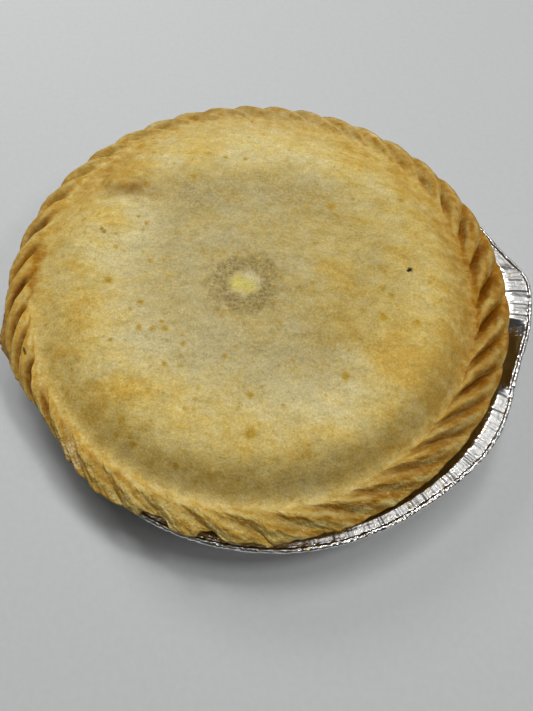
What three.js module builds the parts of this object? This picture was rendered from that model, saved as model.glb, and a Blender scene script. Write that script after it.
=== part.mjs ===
// A whole cheese and onion pie, still in the foil dish that it was baked in.
// Millimetres, +Z up. The origin is the middle of the dish's flat underside.

import * as THREE from 'three';

// ---------------------------------------------------------------- driving sizes

// Pie
const PIE_RADIUS = 110.7; // middle to the outer edge of the crimped rim
const PIE_SHIFT = [-4.2, -1.5]; // the crust's middle, seen from the dish's middle
const RIM_HEIGHT = 37; // the rim's outer edge above the table
const LID_RISE = 12; // the domed lid above the rim's outer edge
const CHANNEL = 0.873; // where lid and rim meet, as a share of the pie's radius
const EDGE_DROP = 1; // the rounded edge below the rim's mean height
const CRUST_THICKNESS = 6; // the rim, from its outer edge to its underside
const LIP_RISE = 2; // the rim's rounded lower edge: its height and its inset
const LIP_INSET = 0.7;
const UNDERSIDE_INSET = 3.4; // where the rim's underside meets the crust's side
const SCRAP = 3.4; // how far the scrap of base crust on the left sticks out

// Rope crimps
const CRIMPS = 39;
const CRIMP_DEPTH = 4.2; // groove below the rim's crown
const CRIMP_END = 2; // degrees at which the first groove meets the rim's edge
const CRIMP_SWEEP = 11; // degrees that a strand turns on its way out from the lid
const CRIMP_TOOTH = 0.9; // how far each strand's end stands out past the rim's edge
const CRIMP_ROUNDNESS = 2.3; // power of a strand's round back: 2 is a parabola
const CRIMP_DIFFERENCE = 0.22; // share by which one groove's depth differs from the next

// Foil dish
const DISH_RADIUS = 115; // over the rolled bead
const DISH_FLOOR_RADIUS = 88;
const WALL_TOP_RADIUS = 107.8; // where the sloping wall turns into the flange
const FLANGE_HEIGHT = 28;
const BEAD_RADIUS = 1.2;
const FOIL = 0.6;
const CORNER = 2; // rounded corner between floor and wall, of foil and crust alike
const NECK = 1.6; // the bend between wall and flange: its height and its width
const WALL_BEND = 0.15; // share of the flange's bends that reaches the top of the wall
const NECK_BEND = 0.5; // and that reaches the neck
const FOLD_DROP = 2.2; // how far the neck sinks where the flange is folded up
const PLEATS = 80;
const PLEAT_DEPTH = 0.7;
const GAP = 0.4; // air between crust and foil

// Facets
const FACETS_PER_CRIMP = 8;
const RIM_FACETS = CRIMPS * FACETS_PER_CRIMP;
const LID_FACETS = RIM_FACETS / 2;
const DISH_FACETS = PLEATS * 2;
const RIM_STATIONS = [1, 0.82, 0.58, 0.34, 0.15, 0]; // the rim's rings, from its edge (1) inwards
const SHOULDER_STATIONS = [0.845, 0.8, 0.74, 0.67]; // the lid's, as shares of the pie's radius
const MIDDLE_STATIONS = [0.55, 0.38];
const INNER_STATION = 0.18;

const DEGREE = Math.PI / 180;

// ---------------------------------------------------------------- small helpers

const mix = (a, b, share) => a + (b - a) * share;
const wave = (angle, times, peak) => Math.cos(times * (angle - peak) * DEGREE);

// Rises smoothly from 0 to 1 as value goes from low to high.
function rise(value, low, high) {
  const share = Math.min(1, Math.max(0, (value - low) / (high - low)));
  return share * share * (3 - 2 * share);
}

// A bell of height 1 round an angle in degrees, measured the short way round.
function bell(angle, middle, width) {
  const away = ((((angle - middle) % 360) + 540) % 360) - 180;
  return Math.exp(-((away / width) ** 2));
}

// A ring of points round +Z, counterclockwise from above: place(angle, step) gives each [x, y, z].
function ring(facets, place) {
  return Array.from({ length: facets }, (_, step) => place((360 * step) / facets, step));
}

// Joins a row of rings into one closed body. The first and the last ring are single points,
// and the row runs outwards underneath, up the outside and back in over the top.
function bodyOfRings(rings) {
  const position = [];
  const index = [];
  const starts = [];
  for (const points of rings) {
    starts.push(position.length / 3);
    for (const point of points) position.push(...point);
  }
  for (let k = 0; k + 1 < rings.length; k++) {
    const [countA, countB] = [rings[k].length, rings[k + 1].length];
    const a = (step) => starts[k] + (step % countA);
    const b = (step) => starts[k + 1] + (step % countB);
    let i = countA === 1 ? countA : 0;
    let j = countB === 1 ? countB : 0;
    while (i < countA || j < countB) {
      const stepsA = j >= countB || (i < countA && (i + 1) / countA <= (j + 1) / countB);
      if (stepsA) index.push(a(i), a(++i), b(j));
      else index.push(a(i), b(j + 1), b(j++));
    }
  }
  const geometry = new THREE.BufferGeometry();
  geometry.setAttribute('position', new THREE.Float32BufferAttribute(position, 3));
  geometry.setIndex(index);
  geometry.computeVertexNormals();
  return geometry;
}

function namedMesh(name, geometry, material) {
  const mesh = new THREE.Mesh(geometry, material);
  mesh.name = name;
  return mesh;
}

// ---------------------------------------------------------------- pie

// The pie's outline as a share of its radius: nearly round, fuller on the right and flatter on
// the near right.
function outline(angle) {
  const oval = 0.0053 * wave(angle, 1, 259) + 0.0044 * wave(angle, 2, 33);
  const byHand = 0.007 * bell(angle, 0, 16) - 0.009 * bell(angle, 313, 22);
  return 1.001 + oval + 0.0029 * wave(angle, 3, 28) + byHand;
}

// The rim alone is pressed in on the near left. Millimetres.
const flatSpot = (angle) => 4.4 * bell(angle, 224, 10);

// The crimps are pressed by hand, so their pitch drifts round the rim. Degrees.
const drift = (angle) => 0.9 * wave(angle, 3, 187) - 2.5 * wave(angle, 1, 210);

// A strand turns furthest on its way out on the right. Degrees.
const sweep = (angle) => CRIMP_SWEEP + 3 * wave(angle, 1, 340);

// The angle that a point has when its facet is sheared with the crimps. out goes from 0 where
// the lid ends to 1 at the rim's edge.
function sheared(angle, out) {
  return angle + drift(angle) + CRIMP_END - sweep(angle) * (1 - out ** 0.9);
}

// How much each crimp differs from the next, about -1 to 1.
const unlike = (crimp) => 0.6 * Math.sin(2.4 * crimp) + 0.4 * Math.sin(5.1 * crimp + 1);

// One strand of the rope from groove (0) to groove (1): a round back with its crest at a share.
function strand(share, crest) {
  const lean = Math.log(0.5) / Math.log(crest);
  return 1 - Math.abs(2 * share ** lean - 1) ** CRIMP_ROUNDNESS;
}

// The grooves are deepest on the left and the right, and shallowest on the far side.
const grooveDepth = (angle) => 0.95 + 0.2 * wave(angle, 2, 165) + 0.12 * wave(angle, 1, 280);

// 1 on the near right, where lid and rim meet in a channel, and 0 on the far left, where the
// lid runs on into the crimps.
const parted = (angle) => 0.5 + 0.5 * wave(angle, 1, 295);

// Height of the line where lid and rim meet, over the rim's edge.
const channelHeight = (angle) => mix(2.8, -0.8, parted(angle));

// Height of the lid over the rim's edge at a share of the outline, before its unevenness. It is
// flat in the middle, and falls steeply where it is parted from the rim and slowly elsewhere.
function lidProfile(angle, share) {
  const flat = mix(0.36, 0.62, parted(angle));
  const outwards = Math.max(0, (share - flat) / (CHANNEL - flat));
  return mix(LID_RISE, channelHeight(angle), rise(outwards ** 2, 0, 1));
}

// Slow swells of the baked lid, and the blister on its far left shoulder.
function lidUnevenness(x, y) {
  const swell = 0.6 * Math.sin(0.052 * x + 1.1) * Math.cos(0.043 * y - 0.6);
  const dimple = 0.35 * Math.sin(0.09 * y + 0.07 * x);
  const blister = Math.exp(-((x + 67) ** 2 + (y - 41) ** 2) / 12 ** 2);
  return swell + dimple + 3 * blister;
}

function lidPoint(angle, share) {
  const turned = sheared(angle, 0);
  const radius = PIE_RADIUS * share * outline(turned);
  const [x, y] = [radius * Math.cos(turned * DEGREE), radius * Math.sin(turned * DEGREE)];
  const uneven = lidUnevenness(x, y) * (1 - rise(share, 0.8, CHANNEL));
  return [x + PIE_SHIFT[0], y + PIE_SHIFT[1], RIM_HEIGHT + lidProfile(turned, share) + uneven];
}

// A point of the crimped rim. Each strand rises steeply from its groove and falls gently to the
// next, and its crest crosses it on the way out. Its end stands out past the rim's edge, most on
// the far side and on the near side. The strands begin further out on the far left and the near
// left.
function rimPoint(angle, step, out) {
  const crimp = Math.floor(step / FACETS_PER_CRIMP);
  const share = (step % FACETS_PER_CRIMP) / FACETS_PER_CRIMP;
  const turned = sheared(angle, out);
  const swelling = mix(2.4, 3.6, parted(turned)) * Math.sin(Math.PI * out ** 0.9);
  const crown = mix(channelHeight(turned), -EDGE_DROP, out) + swelling;
  const start = 0.16 * bell(turned, 145, 28) + 0.16 * bell(turned, 250, 35);
  const fading = rise(out, start, start + 0.35) * (1 - 0.7 * rise(out, 0.55, 1));
  const depth = CRIMP_DEPTH * grooveDepth(turned) * (1 + CRIMP_DIFFERENCE * unlike(crimp)) * fading;
  const groove = depth * (1 - strand(share, mix(0.28, 0.55, out)));
  const near = bell(turned, 268, 20);
  const standing = CRIMP_TOOTH * (0.5 + bell(turned, 110, 55) + near);
  const tooth = standing * (strand(share, mix(0.55, 0.3, near)) - 0.5);
  const edge = (tooth - flatSpot(turned)) * out ** 3;
  const radius = PIE_RADIUS * outline(turned) * mix(CHANNEL, 1, out) + edge;
  return [
    radius * Math.cos(turned * DEGREE) + PIE_SHIFT[0],
    radius * Math.sin(turned * DEGREE) + PIE_SHIFT[1],
    RIM_HEIGHT + crown - groove,
  ];
}

// Below the rim's edge, inset towards the dish's middle, at a height of its own. scrap shows how
// much of the scrap of base crust, pressed out on the left, sticks out there.
function underRimPoint(angle, step, inset, height, scrap) {
  const [x, y] = rimPoint(angle, step, 1);
  const reach = Math.hypot(x, y);
  const pressedOut = scrap * bell(Math.atan2(y, x) / DEGREE, 203, 3.2);
  const share = (reach - inset + pressedOut) / reach;
  return [x * share, y * share, height];
}

// The base crust's side: it hangs down from the rim, and keeps off the foil wall by the gap.
function sidePoint(angle, step, height) {
  const [x, y] = rimPoint(angle, step * 2, 1);
  const reach = Math.hypot(x, y);
  const pushedIn = Math.min(0, flangeBend(Math.atan2(y, x) / DEGREE)) * WALL_BEND;
  const wall = wallRadius(height) + pushedIn - PLEAT_DEPTH - GAP;
  const share = Math.min(reach - UNDERSIDE_INSET, wall) / reach;
  return [x * share, y * share, height];
}

// A ring of the pie's flat base, turned as far as the crimps at the rim's edge.
function baseRing(facets, radius, height) {
  return ring(facets, (angle) => {
    const turned = sheared(angle, 1) * DEGREE;
    return [radius * Math.cos(turned), radius * Math.sin(turned), height];
  });
}

function pieGeometry() {
  const base = FOIL + GAP;
  const baseRadius = wallRadius(base + CORNER) - PLEAT_DEPTH - GAP;
  const underside = RIM_HEIGHT - CRUST_THICKNESS;
  const lip = underside + LIP_RISE;
  const rimRing = (place) => ring(RIM_FACETS, place);
  const lidRing = (facets, share) => ring(facets, (angle) => lidPoint(angle, share));
  return bodyOfRings([
    [[0, 0, base]],
    baseRing(LID_FACETS / 4, baseRadius / 3, base),
    baseRing(LID_FACETS / 2, (baseRadius * 3) / 4, base),
    baseRing(LID_FACETS, baseRadius - CORNER, base),
    baseRing(LID_FACETS, baseRadius, base + CORNER),
    ring(LID_FACETS, (angle, step) => sidePoint(angle, step, FLANGE_HEIGHT - NECK)),
    rimRing((angle, step) => underRimPoint(angle, step, UNDERSIDE_INSET, underside, 0)),
    rimRing((angle, step) => underRimPoint(angle, step, LIP_INSET, lip, SCRAP)),
    ...RIM_STATIONS.map((out) => rimRing((angle, step) => rimPoint(angle, step, out))),
    ...SHOULDER_STATIONS.map((share) => lidRing(LID_FACETS, share)),
    ...MIDDLE_STATIONS.map((share) => lidRing(LID_FACETS / 2, share)),
    lidRing(LID_FACETS / 4, INNER_STATION),
    [lidPoint(0, 0)],
  ]);
}

// ---------------------------------------------------------------- foil dish

// Inside radius of the smooth wall at a height.
function wallRadius(height) {
  return mix(DISH_FLOOR_RADIUS, WALL_TOP_RADIUS, (height - FOIL) / (FLANGE_HEIGHT - FOIL));
}

// The flange is bent: pulled out into an ear on the right and less on the near right, pushed in
// just past the ear, and tucked under the crust at the back and on the near left.
function flangeBend(angle) {
  const ear = 5.9 * bell(angle, 10, 6.6) + 6.9 * bell(angle, 1, 11.9) - 2 * bell(angle, 29, 5);
  const bulge = 3.2 * bell(angle, 329, 14) + bell(angle, 285, 28);
  const tucked = -3.4 * bell(angle, 56, 28) - 4.4 * bell(angle, 228, 16);
  return ear + bulge + tucked;
}

// How far the flange lifts along its edge.
function flangeLift(angle) {
  return 0.5 * wave(angle, 2, 60) + 0.3 * wave(angle, 7, 15) - 1.1 * bell(angle, 10, 12);
}

// Just below the ear the flange is folded up, and the wall runs on to the bead: 0 to 1.
const foldedUp = (angle) => rise(angle, 338, 344) * (1 - rise(angle, 356, 359));

// A ring of the dish. bend and pleat say how much of the bent flange and of the pleats it shows,
// and drop how far it sinks where the flange is folded up.
function dishRing(radius, height, bend = 0, pleat = 0, drop = 0) {
  return ring(DISH_FACETS, (angle, step) => {
    const crease = (step % 2 === 0 ? 0.5 : -0.5) * PLEAT_DEPTH * pleat;
    const reach = radius + crease + flangeBend(angle) * bend;
    const level = height + flangeLift(angle) * bend - foldedUp(angle) * drop;
    return [reach * Math.cos(angle * DEGREE), reach * Math.sin(angle * DEGREE), level];
  });
}

// A ring of the dish's flat floor.
function floorRing(facets, share, height) {
  const radius = DISH_FLOOR_RADIUS * share;
  return ring(facets, (angle) => [
    radius * Math.cos(angle * DEGREE),
    radius * Math.sin(angle * DEGREE),
    height,
  ]);
}

// One face of the foil, from the middle of the floor out to the bead. side is -1 underneath and
// 1 on top.
function foilFace(side) {
  const half = (side * FOIL) / 2;
  const floor = FOIL / 2 + half;
  const beadStart = DISH_RADIUS - 2 * BEAD_RADIUS;
  const flange = FLANGE_HEIGHT + half;
  return [
    [[0, 0, floor]],
    floorRing(DISH_FACETS / 4, 0.35, floor),
    floorRing(DISH_FACETS / 2, 0.7, floor),
    dishRing(DISH_FLOOR_RADIUS - CORNER, floor),
    dishRing(DISH_FLOOR_RADIUS + CORNER / 2 - half, FOIL + CORNER / 2 + half, 0, 0.3),
    dishRing(WALL_TOP_RADIUS - half, FLANGE_HEIGHT - NECK + half, WALL_BEND, 1, FOLD_DROP / 2),
    dishRing(WALL_TOP_RADIUS + NECK, flange - FOIL / 2, NECK_BEND, 1, FOLD_DROP),
    dishRing(beadStart, flange, 1, 0.7),
  ];
}

// The rolled bead round the flange's edge, from underneath to on top.
function beadRings() {
  const middle = DISH_RADIUS - BEAD_RADIUS;
  return [
    dishRing(middle, FLANGE_HEIGHT - BEAD_RADIUS, 1, 0.3),
    dishRing(DISH_RADIUS, FLANGE_HEIGHT, 1, 0.3),
    dishRing(middle, FLANGE_HEIGHT + BEAD_RADIUS, 1, 0.3),
  ];
}

function dishGeometry() {
  return bodyOfRings([...foilFace(-1), ...beadRings(), ...foilFace(1).reverse()]);
}

// ---------------------------------------------------------------- the whole

const crust = new THREE.MeshStandardMaterial({ color: 0xc4a468, roughness: 0.75, metalness: 0 });
const foil = new THREE.MeshStandardMaterial({ color: 0xc9c8c3, roughness: 0.3, metalness: 1 });

const pieInDish = new THREE.Group();
pieInDish.add(namedMesh('pie', pieGeometry(), crust));
pieInDish.add(namedMesh('foil_dish', dishGeometry(), foil));

export default pieInDish;
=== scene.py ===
"""Looks of a whole cheese and onion pie in its foil dish: baked crust and thin bright foil."""
import math

import bpy
import numpy as np
from mathutils import Matrix


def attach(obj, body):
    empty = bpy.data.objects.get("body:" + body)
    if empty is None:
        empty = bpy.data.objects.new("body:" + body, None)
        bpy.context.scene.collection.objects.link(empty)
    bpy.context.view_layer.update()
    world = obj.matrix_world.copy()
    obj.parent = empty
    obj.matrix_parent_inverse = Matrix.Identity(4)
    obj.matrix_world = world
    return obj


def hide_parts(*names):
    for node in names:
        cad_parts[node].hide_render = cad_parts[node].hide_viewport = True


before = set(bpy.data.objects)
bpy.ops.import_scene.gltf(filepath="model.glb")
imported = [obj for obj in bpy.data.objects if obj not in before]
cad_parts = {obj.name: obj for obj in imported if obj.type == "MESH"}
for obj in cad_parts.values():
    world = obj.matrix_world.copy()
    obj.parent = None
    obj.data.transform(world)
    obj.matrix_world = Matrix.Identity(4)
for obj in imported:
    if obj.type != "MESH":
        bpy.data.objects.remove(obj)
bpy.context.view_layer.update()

# ---------------------------------------------------------------- sizes, in millimetres and degrees
MM = 0.001

PIE_RADIUS = 110.7  # middle to the outer edge of the crimped rim
PIE_SHIFT = (-4.2, -1.5)  # the crust's middle, seen from the dish's middle
RIM_HEIGHT = 37.0  # level from which the heights of rim and lid are counted
LID_RISE = 12.0  # the lid's flat middle over that level
EDGE_DROP = 1.0  # the rim's outer edge below it
CHANNEL = 0.873  # share of the radius where lid and rim meet, before channel() bends it
RIM_WIDTH = PIE_RADIUS * (1 - CHANNEL)
CRUST_THICKNESS = 6.0
UNDERSIDE_INSET = 3.4  # how far the rim's underside draws in under its edge
SIDE_START = 8.0  # height of the lowest ring of the base crust's side
SCRAP = 4.4  # how far the scrap of base crust on the left sticks out
BLISTER = 4.2  # height of the blister on the lid's far left shoulder
BLISTER_RADIUS = 10.5

CRIMPS = 39  # strands round the rim
CRIMP_DEPTH = 4.2  # groove to crest
CRIMP_END = 2.0  # degrees that a strand's outer end is turned by
CRIMP_SWEEP = 11.0  # degrees that a strand runs round between the lid and the rim's edge
CRIMP_TOOTH = 0.9  # how far a strand's end stands out
CRIMP_ROUNDNESS = 2.3  # power of a strand's section: a higher one is broader
CRIMP_DIFFERENCE = 0.22  # how much the depth differs from crimp to crimp
NOTCHES = [(251.7, 257.4, 3.2), (263.5, 267.1, 2.4)]  # broken out of the edge: from, to, depth
NOTCH_END = 0.6  # degrees to each side of its ends over which a notch sets in

DISH_RADIUS = 115.0  # over the rolled bead
DISH_FLOOR_RADIUS = 88.0
WALL_TOP_RADIUS = 107.8
FLANGE_HEIGHT = 28.0
BEAD_RADIUS = 1.2
FOIL = 0.6  # thickness
CORNER = 2.0  # size of the bend between floor and wall
NECK = 2.2  # size of the bend between wall and flange
WALL_BEND = 0.15  # share of the flange's bends that the wall's top has
NECK_BEND = 0.5  # share that the neck has
FOLD_DROP = 4.0  # how far the neck is drawn down where the flange is folded up
PLEATS = 80
PLEAT_DEPTH = 0.7
CREASES = 70
CREASE_WIDTH = 0.36  # degrees
GAP = 0.4  # between crust and foil
DISC_RADII = (20.0, 42.0, 62.0, 76.0)  # rings of the flat floor, of pie and dish alike

RIM_POINTS = CRIMPS * 32  # points round each ring of the rim
LID_POINTS = RIM_POINTS // 2
DISH_POINTS = PLEATS * 16
SIDE_RINGS, LOWER_EDGE_RINGS, RIM_RINGS, BEAD_RINGS = 7, 8, 27, 11
LID_RUNS = (  # rings of the lid: from and to a share of the outline, and how many
    (0.866, 0.5, 40), (0.49, 0.26, 22), (0.25, 0.13, 11), (0.12, 0.06, 6), (0.045, 0.025, 2),
)
UNDER_STEPS = (2, 6, 3, 6)  # cuts between the stations of the foil's underside
TOP_STEPS = (2, 16, 5, 12)  # and of its top, which is finer because it is seen

CRIMP_LUCK = np.random.default_rng(39).uniform(0, 1, CRIMPS)  # how dark each crimp is baked


# ---------------------------------------------------------------- small functions

def mix(a, b, share):
    """Straight line from a (share 0) to b (share 1)."""
    return a + (b - a) * share


def wave(angle, times, peak):
    """Cosine with that many crests a turn, one of them at the angle peak."""
    return np.cos(np.radians(times * (angle - peak)))


def rise(value, low, high):
    """Smooth step: 3s^2 - 2s^3 of the share s that value has covered from low to high."""
    share = np.clip((value - low) / (high - low), 0, 1)
    return share * share * (3 - 2 * share)


def stretch(value, start, full, fall, end):
    """1 from full to fall and 0 outside start to end: one smooth step up and one down."""
    return rise(value, start, full) * (1 - rise(value, fall, end))


def bell(angle, middle, width):
    """Bell of height 1 round an angle: exp(-(a/width)^2), a being the short way round to it."""
    away = (angle - middle + 180) % 360 - 180
    return np.exp(-(away / width) ** 2)


def bells(angle, *hills):
    """Sum of bells, each given as its middle, width and height."""
    return sum(height * bell(angle, middle, width) for middle, width, height in hills)


def patches(x, y, table):
    """Sum of round hills, strength * exp(-(dx/width)^2 - (dy/depth)^2), from a table of their
    middle's x and y, width, depth and strength."""
    return sum(strength * np.exp(-((x - px) / width) ** 2 - ((y - py) / depth) ** 2)
               for px, py, width, depth, strength in table)


def ripples(x, y, length, seed, waves=16):
    """Smooth unevenness of about one wavelength: the sum of sine waves that run in seeded
    directions with seeded phases, scaled so that its spread is about 1."""
    chance = np.random.default_rng(seed)
    total = np.zeros(np.broadcast(x, y).shape)
    for _ in range(waves):
        heading, phase = chance.uniform(0, 2 * math.pi, 2)
        pitch = 2 * math.pi / (length * chance.uniform(0.7, 1.4))
        total += np.sin(pitch * (x * math.cos(heading) + y * math.sin(heading)) + phase)
    return total / math.sqrt(waves / 2)


def around(points):
    """Angles of that many points, evenly spaced round one turn."""
    return 360 * np.arange(points) / points


def way_round(points, radius):
    """Way along a circle, in millimetres, to each of that many points."""
    return math.radians(1) * radius * around(points)


def circle(angle, radius, height, middle=(0, 0)):
    """Ring of points at those angles. Radius and height may differ from point to point."""
    x = radius * np.cos(np.radians(angle)) + middle[0]
    y = radius * np.sin(np.radians(angle)) + middle[1]
    return np.stack(np.broadcast_arrays(x, y, height), axis=1)


def polar(ring, middle=(0, 0)):
    """Reach and angle of a ring's points, seen from the middle."""
    x, y = ring[:, 0] - middle[0], ring[:, 1] - middle[1]
    return np.hypot(x, y), np.degrees(np.arctan2(y, x))


def disc_rings(angle, level):
    """Rings of a flat disc from its middle outwards, each of twice the points of the one before.
    angle holds the angles of the full ring that follows them."""
    rings = [np.array([[0.0, 0.0, level]])]
    for k, radius in enumerate(DISC_RADII):
        every = 2 ** (len(DISC_RADII) - k)
        rings.append(circle(angle[::every], radius, level))
    return rings


# ---------------------------------------------------------------- the pie's form

def outline(angle):
    """Pie's outline as a share of its radius: nearly round, fuller on the right and flatter on
    the near right. A sum of three slow waves and two bells."""
    oval = 0.0053 * wave(angle, 1, 259) + 0.0044 * wave(angle, 2, 33)
    by_hand = bells(angle, (0, 16, 0.007), (313, 22, -0.009))
    return 1.001 + oval + 0.0029 * wave(angle, 3, 28) + by_hand


def sheared(angle, out):
    """Angle of a point once its ring is turned with the crimps: a slow drift, and a sweep times
    1 - out^bent, which shrinks from the lid (out 0) to the rim's edge (out 1), quickest at the
    lid, so that a strand leaves the lid at a slant and then turns outwards. On the left the
    strands are dragged on."""
    drift = 0.9 * wave(angle, 3, 187) - 2.5 * wave(angle, 1, 210)
    sweep = CRIMP_SWEEP + 3 * wave(angle, 1, 340) + 5 * bell(angle, 220, 15)
    bent = 0.74 - 0.14 * wave(angle, 1, 330) + 0.3 * bell(angle, 272, 34)
    dragged = 3.5 * bell(angle, 188, 22) * out
    return angle + drift + CRIMP_END - sweep * (1 - out ** bent) + dragged


def strand(share, crest, roundness=CRIMP_ROUNDNESS, soft=0.0):
    """Section of a strand of the rope from groove (0) to groove (1): 1 - |2 s^lean - 1|^roundness,
    with the lean that puts its crest at the share crest. soft mixes in a cosine, which has
    rounded grooves instead of sharp ones."""
    lean = np.log(0.5) / np.log(crest)
    sharp = 1 - np.abs(2 * share ** lean - 1) ** roundness
    return mix(sharp, 0.5 - 0.5 * np.cos(2 * math.pi * share ** lean), soft)


def unlike(crimp):
    """How much each crimp differs from the next, -1 to 1: two sine waves out of step."""
    return 0.6 * np.sin(2.4 * crimp) + 0.4 * np.sin(5.1 * crimp + 1)


def parted(angle):
    """1 on the near right, where lid and rim meet in a channel, and 0 on the far left."""
    return 0.5 + 0.5 * wave(angle, 1, 295)


def channel(angle):
    """Where lid and rim meet, as a share of the outline: further in on the right, further out on
    the near left and far left, and wandering. A wave, two bells and ripples."""
    by_hand = bells(angle, (148, 16, 0.008), (12, 25, -0.01))
    ragged = 0.0022 * ripples(2 * angle, 0, 9, seed=16)
    return CHANNEL + 0.01 + 0.018 * wave(angle, 1, 228) + by_hand + ragged


def past_lid(share):
    """Way past the lid's edge of a place at a share of the outline, in widths of the rim."""
    return (share - CHANNEL) / (1 - CHANNEL)


def channel_height(angle):
    """Height of the line where lid and rim meet, over RIM_HEIGHT."""
    return mix(2.8, -0.8, parted(angle))


def lid_profile(angle, share):
    """Lid's height over RIM_HEIGHT: flat in the middle, then a smooth step of the way to the
    channel to the power 2.1. The flat part is wider, and the flank steeper, where the lid is
    parted from the rim."""
    flat = mix(0.36, 0.62, parted(angle))
    outwards = np.maximum(0, (share - flat) / (CHANNEL - flat))
    return mix(LID_RISE, channel_height(angle), rise(outwards ** 2.1, 0, 1))


def lid_unevenness(x, y):
    """Slow swells of the baked lid, a product of two waves and a third that runs slantwise, and
    the blister, a bell of a high power, which has a flat top and steep sides."""
    swell = 0.6 * np.sin(0.052 * x + 1.1) * np.cos(0.043 * y - 0.6)
    dimple = 0.35 * np.sin(0.09 * y + 0.07 * x)
    away = np.hypot(x + 67, 1.15 * (y - 41)) / BLISTER_RADIUS
    return swell + dimple + BLISTER * np.exp(-away ** 4.4)


def notch(angle, start, end):
    """1 between two angles and 0 outside, with short smooth ends."""
    return stretch(angle, start - NOTCH_END, start + NOTCH_END, end - NOTCH_END, end + NOTCH_END)


def rim_facts(out, points=RIM_POINTS):
    """What the crimped rim is like at out, from 0 where the lid ends to 1 at its edge: for each
    point its angle, its way along the strand's width, how low it lies in a groove from 0 to 1,
    and the groove's depth."""
    crimp, share = np.divmod(np.arange(points) * CRIMPS / points, 1)
    onwards = max(out, 0.0)
    angle = sheared(around(points), onwards)
    shallower = bells(angle, (292, 34, 0.12), (195, 25, 0.35), (234, 14, 0.3), (0, 34, 0.22))
    start = mix(0.1, -0.16, parted(angle)) + 0.26 * bell(angle, 264, 30)
    fading = rise(out, start, start + 0.34) * (1 - 0.7 * rise(out, 0.55, 1))
    differs = mix(unlike(crimp), unlike((crimp + 1) % CRIMPS), rise(share, 0.5, 1))
    depth = CRIMP_DEPTH * (0.95 + 0.2 * wave(angle, 2, 165) - shallower)
    depth = depth * fading * (1 + CRIMP_DIFFERENCE * differs)
    roundness = CRIMP_ROUNDNESS + bells(angle, (200, 30, 1.8), (352, 40, 1.5))
    soft = bells(angle, (284, 46, 0.85), (95, 50, 0.6))
    low = 1 - strand(share, mix(0.28, 0.55, onwards), roundness, soft)
    return angle, share, low, depth


def lid_ring(points, share):
    """Ring of the lid at a share of the outline, with finer swells than the solid has. The
    grooves between the strands run out on it where the lid is parted from the rim."""
    angle, _, low, depth = rim_facts(past_lid(share), points)
    ring = circle(angle, PIE_RADIUS * share * outline(angle) * channel(angle) / CHANNEL, 0.0)
    x, y = ring[:, 0], ring[:, 1]
    fine = 0.12 * ripples(x, y, 14, seed=5) + 0.05 * ripples(x, y, 5, seed=6)
    uneven = (lid_unevenness(x, y) + fine) * (1 - rise(share, 0.8, CHANNEL))
    height = RIM_HEIGHT + lid_profile(angle, share) + uneven - depth * low
    return np.stack([x + PIE_SHIFT[0], y + PIE_SHIFT[1], height], axis=1)


def crumbly(angle):
    """How crumbly the rim is, 0 to 1: most on the near side and the near left."""
    return np.minimum(1, bells(angle, (285, 38, 0.8), (240, 22, 0.9)))


def rim_edge(angle, share):
    """How far the rim's edge stands out: a tooth at each strand's end, frayed by ripples on the
    near side, a flat spot on the near left and a thin flake that hangs over the foil."""
    near = bell(angle, 268, 20)
    standing = CRIMP_TOOTH * (0.5 + bell(angle, 110, 55) + near)
    tooth = standing * (strand(share, mix(0.55, 0.3, near)) - 0.5)
    frayed = 0.28 * ripples(way_round(RIM_POINTS, PIE_RADIUS), 0, 4.5, seed=13)
    return tooth + frayed * bell(angle, 245, 60) + bells(angle, (224, 10, -4.4), (277.5, 1.5, 2.4))


def rim_relief(angle, out):
    """Fine relief of the rim: wrinkles along the strands and crumbs of two sizes, as ripples,
    less a slit on the near left."""
    way, across = way_round(RIM_POINTS, PIE_RADIUS), out * RIM_WIDTH
    wrinkles = 0.05 * ripples(way, across / 2, 4.2, seed=11)
    crumbs = 0.1 * ripples(way, across, 1.8, seed=12) * (0.3 + crumbly(angle))
    crumbs = crumbs + 0.24 * ripples(way, across, 4.0, seed=15) * crumbly(angle)
    slit = bell(angle, 207.3, 1.2) * math.exp(-((out - 0.5) / 0.04) ** 2)
    return (wrinkles + crumbs) * rise(out, 0, 0.1) - slit


def rim_ring(out):
    """Ring of the crimped rim: the crown's arch, lowered by the groove's depth times how low the
    point lies in it, with its uneven edge, two broken notches and fine relief."""
    angle, share, low, depth = rim_facts(out)
    arch = mix(2.4, 3.6, parted(angle)) * math.sin(math.pi * out ** 0.9)
    arch = arch * mix(rise(out, -0.05, 0.4), 1, rise(parted(angle), 0.4, 0.9))
    crown = mix(channel_height(angle), -EDGE_DROP, out) + arch
    broken = sum(size * notch(angle, start, end) for start, end, size in NOTCHES)
    edge = rim_edge(angle, share) - broken * rise(out, 0.72, 1)
    radius = PIE_RADIUS * outline(angle) * mix(channel(angle), 1, out) + edge * out ** 3
    height = RIM_HEIGHT + crown - depth * low + rim_relief(angle, out)
    return circle(angle, radius, height, PIE_SHIFT)


def under_rim_ring(down):
    """Ring of the rim's lower edge, a quarter ellipse from the rim's edge (down 0) to its
    underside (down 1), with the scrap of base crust pressed out on the left."""
    edge = rim_ring(1.0)
    reach, angle = polar(edge)
    turn = down * math.pi / 2
    scrap = SCRAP * bell(angle, 200.5, 5) ** 0.6 * math.sin(math.pi * down) ** 2
    scrap = scrap * (1 + 0.07 * ripples(angle, 0, 1.6, seed=14))
    inset = UNDERSIDE_INSET * (1 - math.cos(turn))
    height = mix(edge[:, 2], RIM_HEIGHT - CRUST_THICKNESS, math.sin(turn))
    return circle(angle, reach - inset + scrap, height)


def wall_radius(height):
    """Inside radius of the smooth foil wall at a height: a straight slope."""
    return mix(DISH_FLOOR_RADIUS, WALL_TOP_RADIUS, (height - FOIL) / (FLANGE_HEIGHT - FOIL))


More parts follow.
